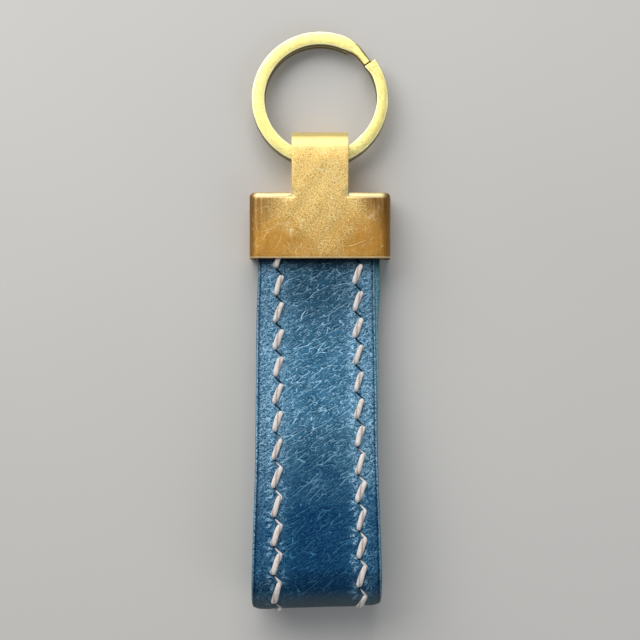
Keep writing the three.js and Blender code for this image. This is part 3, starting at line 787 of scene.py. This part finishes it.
def leather_layer(name, near, far, left, right, material, detailed):
    """One strip of leather as a closed mesh: a fine outer face, rounded edges and a plain back."""
    share = stations_across(detailed)
    along = stations_along(FINE_STEP if detailed else COARSE_STEP)
    s = along[:, None]
    lo, hi = left(s), right(s)
    x = (lo + hi) / 2 + share[None, :] * (hi - lo) / 2
    inside = np.minimum(x - lo, hi - x)
    around_fold = bell(s - GLUE_LENGTH / 2, FOLD_REACH)
    if detailed:
        relief, wear, pressed, slit = outer_relief(s + 0 * x, x, lo, hi)
    else:
        relief = 0.3 * wrinkles(s, x)
        beyond_outer = x - right_edge(s)
        wear = 0.25 + 0.7 * bell(beyond_outer - 0.28, 0.22)
        pressed, slit = np.zeros_like(x), np.zeros_like(x)
    top = far - rounded(inside, EDGE_ROUND) + relief - 0.35 * rounded(inside, FOLD_ROUND) * around_fold
    back_share = share[:: -6 if detailed else -1]
    if back_share[-1] != -1:
        back_share = np.append(back_share, -1)
    back_x = (lo + hi) / 2 + back_share[None, :] * (hi - lo) / 2
    back_inside = np.minimum(back_x - lo, hi - back_x)
    back = near + rounded(back_inside, BACK_ROUND) - 0.3 * rounded(back_inside, FOLD_ROUND) * around_fold
    xs = np.concatenate([x, back_x], axis=1)
    outs = np.concatenate([top, back], axis=1)
    points = place(s, xs, outs)
    faces = tube_faces(*xs.shape)
    shown = far if detailed else near
    unrolled = xs + np.sign(xs) * np.abs(shown - outs)
    uv = np.stack([unrolled, np.broadcast_to(s, xs.shape)], axis=-1).reshape(-1, 2)
    plain = np.zeros_like(back_x)
    both_faces = {
        "wear": (wear, plain + 0.15), "depth": (pressed, plain), "cut": (slit, plain),
        "side": (1 - smooth(inside, 0.0, 0.3), 1 - smooth(back_inside, 0.0, 0.3))}
    attributes = {key: np.concatenate(pair, axis=1).ravel() for key, pair in both_faces.items()}
    return mesh_object(name, metres(points.reshape(-1, 3)), faces, material, attributes, uv)


# ---- Stitches ----

STITCH_WIDE = 0.56
STITCH_HIGH = 0.40
ROUND_STITCH = 24
ALONG_STITCH = 40
HIDDEN = 13  # the lining's stitches start this far from the clip, where the legs part


def curve_through(controls, count):
    """A smooth curve (Catmull-Rom) through control points, with one row for each sample."""
    controls = np.asarray(controls, float)
    before, after = 2 * controls[0] - controls[1], 2 * controls[-1] - controls[-2]
    padded = np.concatenate([[before], controls, [after]])
    t = np.linspace(0, len(controls) - 1 - 1e-9, count)
    k = t.astype(int)
    f = (t - k)[:, None]
    a, b, c, d = (padded[k + i] for i in range(4))
    square, cube = 2 * a - 5 * b + 4 * c - d, 3 * b - a - 3 * c + d
    return 0.5 * (2 * b + (c - a) * f + square * f**2 + cube * f**3)


def stitch(row, hole, after, out, side):
    """One stitch from a hole to the next. side is 1 on the outer face and -1 on the lining.

    Towards the fold the thread lies higher in its holes, so that more of each end shows.
    """
    jitter = rng.uniform(-1, 1, 5)  # no two stitches are alike
    lean = 0.54 + 0.07 * jitter[0]
    wide = STITCH_WIDE * (1 + 0.08 * jitter[1])
    shown = float(smooth(from_mouth(hole), 26, 48))
    hook = 0.10 + 0.22 * shown + 0.03 * jitter[3]
    controls = [  # across, along, out of the leather, and the thread's size there
        (-0.50, hole - 0.55, -0.90, 0.6 * hook),
        (0.12, hole + 0.14, -0.82 + 0.55 * shown, hook),
        (lean + 0.20, hole + 0.82, -0.60 + 0.46 * shown, hook + 0.26),
        (lean + 0.08, hole + 1.25, 0.06, 0.96),
        (0.40 * lean, hole + 2.1, 0.13, 1.05),
        (-0.45 * lean, after - 2.1, 0.13, 1.07),
        (-lean, after - 1.25, 0.05, 1.0),
        (-lean - 0.16, after - 0.90, -0.26, 0.78),
        (-lean - 0.12, after - 0.70, -0.75, 0.5),
    ]
    line = curve_through(controls, ALONG_STITCH)
    centre = place(line[:, 1], row.x(line[:, 1]) + side * line[:, 0], out + side * line[:, 2])
    tangent = np.gradient(centre, axis=0)
    tangent /= np.linalg.norm(tangent, axis=1)[:, None]
    outward = place(line[:, 1], 0, 1) - place(line[:, 1], 0, 0)
    sideways = np.cross(tangent, outward)
    sideways /= np.linalg.norm(sideways, axis=1)[:, None]
    up = np.cross(sideways, tangent)
    theta = np.linspace(0, 2 * math.pi, ROUND_STITCH, endpoint=False)[None, :]
    t = np.linspace(0, 1, ALONG_STITCH)[:, None]
    twist = 2 * math.pi * (t + 0.5 * jitter[2])
    ply = np.abs(np.cos(theta - twist))
    size = line[:, 3][:, None] * (0.74 + 0.28 * np.sqrt(ply))
    rim = centre[:, None] + sideways[:, None] * (wide * size * np.cos(theta))[..., None]
    rim = rim + up[:, None] * (STITCH_HIGH * size * np.sin(theta))[..., None]
    wound = (theta - twist) / (2 * math.pi)
    uv = np.stack([wound * 3.0, line[:, 1][:, None] + 0 * theta], axis=-1)
    groove = np.clip(1 - ply / 0.5, 0, 1)
    return rim, uv, groove


def thread_rows(row):
    """All stitches of a row on both faces of the strap, as one piece."""
    points, uvs, grooves, faces = [], [], [], []
    for out, side in ((LAYER_OUT, 1), (-LAYER_OUT, -1)):
        for hole, after in zip(row.holes[:-1], row.holes[1:]):
            if side < 0 and (hole < HIDDEN or after > GLUE_LENGTH - HIDDEN):
                continue
            if after < -0.2 or hole > GLUE_LENGTH + 0.2:
                continue
            rim, uv, groove = stitch(row, hole, after, out, side)
            start = len(points) * ALONG_STITCH * ROUND_STITCH
            faces += tube_faces(ALONG_STITCH, ROUND_STITCH, start, flip=True)
            points.append(rim.reshape(-1, 3))
            uvs.append(uv.reshape(-1, 2))
            grooves.append(groove.ravel())
    return mesh_object(
        f"{row.name}_stitching", metres(np.concatenate(points)), faces, THREAD,
        {"groove": np.concatenate(grooves)}, np.concatenate(uvs))


# ---- Clip: the blank is a grid that is folded, thickened and then softened at its edges ----


def profile_across():
    """Stations (kind, side, value) across the plate, from one wall's edge round to the other's."""
    wall = np.linspace(0, CLIP_HEIGHT - SIDE_BEND, 7)[:-1]
    bend = np.linspace(0, math.pi / 2, 13)
    flat_half = CLIP_HALF - SIDE_BEND
    flat = np.concatenate([
        np.linspace(-flat_half, -NECK_HALF, 9)[1:], np.linspace(-NECK_HALF, NECK_HALF, 15)[1:-1],
        np.linspace(NECK_HALF, flat_half, 9)[:-1]])
    left = [("wall", -1, z) for z in wall] + [("bend", -1, a) for a in bend]
    right = [(kind, 1, value) for kind, _, value in reversed(left)]
    return left + [("flat", 0, x) for x in flat] + right


def station_point(station, y, inset):
    """A station's point on the clip's outside, moved inwards by the inset."""
    kind, side, value = station
    if kind == "wall":
        return (side * (CLIP_HALF - inset), y, value)
    if kind == "bend":
        radius = SIDE_BEND - inset
        centre_x, centre_z = CLIP_HALF - SIDE_BEND, CLIP_HEIGHT - SIDE_BEND
        return (side * (centre_x + radius * math.cos(value)), y, centre_z + radius * math.sin(value))
    return (value, y, CLIP_HEIGHT - inset)


def strip_of_faces(bm, low, high):
    """Quads between two rows of vertices."""
    for j in range(len(low) - 1):
        bm.faces.new((low[j], low[j + 1], high[j + 1], high[j]))


def rows_of_faces(bm, last, path):
    """Carries a row of vertices along (y, z) points, and gives back its last copy."""
    for y, z in path:
        row = [bm.verts.new((v.co.x, y, z)) for v in last]
        strip_of_faces(bm, last, row)
        last = row
    return last


def shoulder(bm, stations, root, columns, inner):
    """The wall that is bent down beside the neck, over these columns; inner is the neck's own one."""
    last = [root[j] for j in columns]
    for turn in np.linspace(0, math.pi / 2, 9)[1:]:
        y = CLIP_LENGTH - SHOULDER_BEND + SHOULDER_BEND * math.sin(turn)
        inset = SHOULDER_BEND * (1 - math.cos(turn))
        row = []
        for j in columns:
            point = list(station_point(stations[j], y, inset))
            if j == inner:
                point[0] += math.copysign(SEAM * smooth(turn, 0, 1.2), point[0])
            row.append(bm.verts.new(point))
        strip_of_faces(bm, last, row)
        last = row
    beside_neck = last[list(columns).index(inner)]
    corner = bm.verts.new((beside_neck.co.x, CLIP_LENGTH, 0))
    down = [beside_neck.co.lerp(corner.co, k / 6) for k in range(1, 6)]
    chain = [bm.verts.new(point) for point in down] + [corner]
    bm.faces.new(last + chain if inner == columns[-1] else chain[::-1] + last)


def clip_surface():
    """The outer surface of the folded blank, as a bmesh in millimetres from the mouth."""
    stations = profile_across()
    bm = bmesh.new()
    flat_rows = np.linspace(0, CLIP_LENGTH - SHOULDER_BEND, 13)
    grid = [[bm.verts.new(station_point(s, y, 0)) for s in stations] for y in flat_rows]
    for low, high in zip(grid, grid[1:]):
        strip_of_faces(bm, low, high)
    root = grid[-1]
    neck = [j for j, s in enumerate(stations) if s[0] == "flat" and abs(s[2]) <= NECK_HALF + 1e-6]
    shoulder(bm, stations, root, range(neck[0] + 1), neck[0])
    shoulder(bm, stations, root, range(neck[-1], len(stations)), neck[-1])
    outer = CLIP_HEIGHT / 2
    fold_y = NECK_TOP - outer
    over = np.linspace(0, math.pi, 33)[1:]
    path = [(y, CLIP_HEIGHT) for y in np.linspace(CLIP_LENGTH - SHOULDER_BEND, fold_y, 12)[1:]]
    path += [(fold_y + outer * math.sin(a), outer + outer * math.cos(a)) for a in over]
    path += [(y, 0) for y in np.linspace(fold_y, BACK_END, 10)[1:]]
    tongue = rows_of_faces(bm, [root[j] for j in neck], path)
    back_half = CLIP_HALF - SHEET - SEAM
    left = np.linspace(-back_half, -NECK_HALF, 8)[:-1]
    right = np.linspace(NECK_HALF, back_half, 8)[1:]
    wings = [[bm.verts.new((x, BACK_END, 0)) for x in side] for side in (left, right)]
    rows_of_faces(bm, wings[0] + tongue + wings[1], [(y, 0) for y in np.linspace(BACK_END, 0, 13)[1:]])
    return bm


def sink_cutter(x):
    """A cone that cuts a countersunk screw hole in the back plate."""
    bm = bmesh.new()
    beyond = 0.6
    profile = [
        (SINK_RADIUS * 1.3, -beyond), (SINK_RADIUS, 0.0), (SINK_THROAT, SHEET),
        (SINK_THROAT, SHEET + beyond)]
    angles = np.linspace(0, 2 * math.pi, 48, endpoint=False)
    rings = []
    for radius, z in profile:
        circle = [(x + radius * math.cos(a), SCREW_Y + radius * math.sin(a), z) for a in angles]
        rings.append([bm.verts.new(point) for point in circle])
    for low, high in zip(rings, rings[1:]):
        strip_of_faces(bm, low + low[:1], high + high[:1])
    bm.faces.new(rings[0][::-1])
    bm.faces.new(rings[-1])
    return bm


def object_from(name, bm, material):
    """An object with the bmesh as its mesh; the bmesh is used up."""
    mesh = bpy.data.meshes.new(name)
    bm.normal_update()
    bm.to_mesh(mesh)
    bm.free()
    mesh.materials.append(material)
    return added(name, mesh)


def make_clip():
    made = object_from("brass_clip", clip_surface(), CLIP_BRASS)
    places = (-SCREW_X, SCREW_X)
    cutters = [object_from(f"cutter_{k}", sink_cutter(x), CLIP_BRASS) for k, x in enumerate(places)]
    modified(made, "SOLIDIFY", thickness=SHEET, offset=-1, use_even_offset=True)
    for cutter in cutters:
        modified(made, "BOOLEAN", object=cutter, operation="DIFFERENCE", solver="EXACT")
    for cutter in cutters:
        bpy.data.objects.remove(cutter)
    modified(
        made, "BEVEL", width=EDGE_BEVEL, segments=4, limit_method="ANGLE",
        angle_limit=math.radians(38))
    points = metres(soften(np.array([v.co for v in made.data.vertices])))
    made.data.vertices.foreach_set("co", points.astype(np.float32).ravel())
    made.data.update()
    made.data.shade_smooth()
    made.data.set_sharp_from_angle(angle=math.radians(40))
    return made


def soften(points):
    """Hand-finished unevenness: a wavy plate, dips where the shoulders meet the neck, a thinner fold."""
    x, y, z = points.T.copy()
    front = smooth(z, CLIP_HEIGHT - 1.2, CLIP_HEIGHT - 0.9)
    wave = 0.03 * np.sin(0.55 * x + 0.8) * np.sin(0.7 * y + 0.4) + 0.02 * np.sin(1.3 * x - 0.9 * y)
    z = z + front * wave
    edge = bell(NECK_HALF - np.abs(x), 0.55) * (np.abs(x) <= NECK_HALF + 0.05)
    at_bend = smooth(y, CLIP_LENGTH - 1.3, CLIP_LENGTH - 0.5)
    at_bend = at_bend * (1 - smooth(y, CLIP_LENGTH - 0.2, CLIP_LENGTH + 0.7))
    z = z - 0.3 * front * edge * at_bend
    fold_y = NECK_TOP - CLIP_HEIGHT / 2
    z = z - 0.2 * smooth(z, 4.5, 5.5) * smooth(y, fold_y - 2.4, fold_y + 1.4)
    return np.stack([x, y, z], axis=1)


# ---- Split ring ----


def wire_section(width, thick, corner):
    """A rounded rectangle, as (radial, height) points, anticlockwise."""
    points = []
    for cx, cz, start in ((1, 1, 0), (-1, 1, 90), (-1, -1, 180), (1, -1, 270)):
        for a in np.radians(np.linspace(start, start + 90, 4)):
            points.append((
                cx * (width / 2 - corner) + corner * math.cos(a),
                cz * (thick / 2 - corner) + corner * math.sin(a)))
    return np.array(points)


STEP_START = UPPER_END + 360 - STEP_FROM  # angles from the upper end, clockwise along the wire
STEP_END = UPPER_END + 360 - STEP_TO
SWEEP = UPPER_END + 720 - LOWER_END


def wire_at(angle):
    """The wire's section at an angle from its upper end, with its painted shade at the butt, how sloping
    it is and how far out it is.
    """
    lift = (WIRE_THICK + TURN_GAP) / 2
    fall = smooth(angle, STEP_START, STEP_END)
    in_step = smooth(angle, STEP_START - 10, STEP_START + 13)
    in_step = in_step * (1 - smooth(angle, STEP_END + 2, STEP_END + 16))
    late = smooth(angle, STEP_START + 4, STEP_END) * in_step
    near_end = min(angle, SWEEP - angle)
    rounding = math.sqrt(max(0.0, 1 - (1 - min(near_end / 1.5, 1.0)) ** 2))
    in_turn = angle % 360
    taper = 0.34 * (1 - smooth(in_turn, 35, 85)) * smooth(in_turn, 0, 14)
    width = (WIRE_WIDTH - taper - 0.72 * in_step - 0.2 * late) * (0.86 + 0.14 * rounding)
    thick = WIRE_THICK * (0.9 + 0.1 * rounding)
    section = wire_section(width, thick, 0.14 + 0.36 * in_step)
    radial = RING_RADIUS - WIRE_WIDTH / 2 + 0.5 * taper - 0.12 * late + section[:, 0]
    height = section[:, 1] + lift * (1 - 2 * fall) - 0.12 * in_step * section[:, 0]
    a = math.radians(UPPER_END - angle)
    points = np.stack([radial * math.cos(a), radial * math.sin(a), height], axis=1)
    # painted shade: a dark line in the gap where the upper end butts against the step, and on the end
    # itself
    butt_shade = smooth(angle, 356.9, 357.8) * (angle < 361) + (angle < 0.35)
    sloping = smooth(angle, STEP_START - 1, STEP_START + 4)
    sloping = sloping * (1 - smooth(angle, STEP_END - 2, STEP_END + 1))
    alike = np.ones(len(section))
    return points, min(1.0, butt_shade) * alike, sloping * alike, 2 * section[:, 0] / width


def make_ring():
    """Two turns of flat wire, swept clockwise from the upper end, down the step, to the lower end."""
    angles = np.unique(np.concatenate([
        np.linspace(0, 2.2, 9), np.linspace(2.2, STEP_START - 10, 230),
        np.linspace(STEP_START - 10, STEP_END + 16, 90), np.linspace(STEP_END + 16, SWEEP - 2.2, 230),
        np.linspace(SWEEP - 2.2, SWEEP, 9)]))
    rings, *attributes = zip(*(wire_at(angle) for angle in angles))
    faces = tube_faces(len(rings), len(rings[0]), flip=True)
    ring_low, ring_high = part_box("split_ring")
    x, y, z = np.concatenate(rings).T
    x = x + (ring_low[0] + ring_high[0]) / 2 / MM
    y = y + TO_CENTRE
    points = np.stack([
        x, y * math.cos(RING_LEAN) + z * math.sin(RING_LEAN) + RING_PIVOT[1] - MOUTH,
        z * math.cos(RING_LEAN) - y * math.sin(RING_LEAN) + RING_PIVOT[2]], axis=1)
    attributes = {key: np.concatenate(v) for key, v in zip(("butt_shade", "step", "radial"), attributes)}
    return mesh_object("brass_split_ring", metres(points), faces, RING_BRASS, attributes, sharp=40)


# ---- Floor and light ----


def make_floor():
    bm = bmesh.new()
    bmesh.ops.create_grid(bm, x_segments=8, y_segments=8, size=0.6)
    floor = object_from("floor", bm, floor_material())
    floor.location.z = FLOOR * MM


def area_light(name, place_at, size, power, colour):
    """A light that shines at the middle of the fob."""
    data = bpy.data.lights.new(name, "AREA")
    data.shape = "RECTANGLE"
    data.size, data.size_y = size
    data.energy = power
    data.color = colour
    light = added(name, data)
    light.location = place_at
    light.rotation_euler = (-Vector(place_at)).to_track_quat("-Z", "Y").to_euler()


def make_light():
    """A dim room, a large soft light beyond the ring's end and to the left, and a weak one opposite."""
    world = bpy.data.worlds.new("studio")
    bpy.context.scene.world = world
    world.use_nodes = True
    room = world.node_tree.nodes["Background"].inputs
    room["Color"].default_value = (0.93, 0.96, 1.0, 1)
    room["Strength"].default_value = 0.28
    area_light("key", (-0.19, 0.42, 0.34), (0.75, 0.55), 4.3, (1.0, 0.98, 0.94))
    area_light("fill", (0.35, -0.25, 0.35), (0.3, 0.3), 0.3, (0.92, 0.96, 1.0))
    view = bpy.context.scene.view_settings
    view.view_transform = "Standard"
    view.look = "None"


# ---- Build ----

make_floor()
make_light()

OUTER = leather_material(
    "outer_leather", (0.0, 0.028, 0.097), (0.028, 0.116, 0.208), (0.43, 0.74, 1.00), (0.09, 0.36, 0.56))
LINING = leather_material(
    "lining_leather", (0.01, 0.13, 0.19), (0.05, 0.28, 0.37), (0.36, 0.64, 0.70), (0.2, 0.4, 0.5), 5.0)
outer = leather_layer("leather_outer", GLUE_HALF, LAYER_OUT, left_edge, right_edge, OUTER, True)
inner = leather_layer(
    "leather_lining", -LAYER_OUT, -GLUE_HALF, lining_left, lining_right, LINING, False)
threads = [thread_rows(row) for row in ROWS]
clip = make_clip()
ring = make_ring()

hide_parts("outer_loop", "outer_front_end", "outer_back_end")
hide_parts("lining_loop", "lining_front_end", "lining_back_end")
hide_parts("left_thread")
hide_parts("right_thread")
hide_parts("clip_body")
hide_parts("split_ring")

for name in ("left_screw", "right_screw", "left_post", "right_post"):
    materials = frame["nodes"][name].data.materials
    materials.clear()
    materials.append(SCREW_BRASS)

for piece in (outer, inner, *threads):
    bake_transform(piece)
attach(clip, "clip")
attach(ring, "ring")
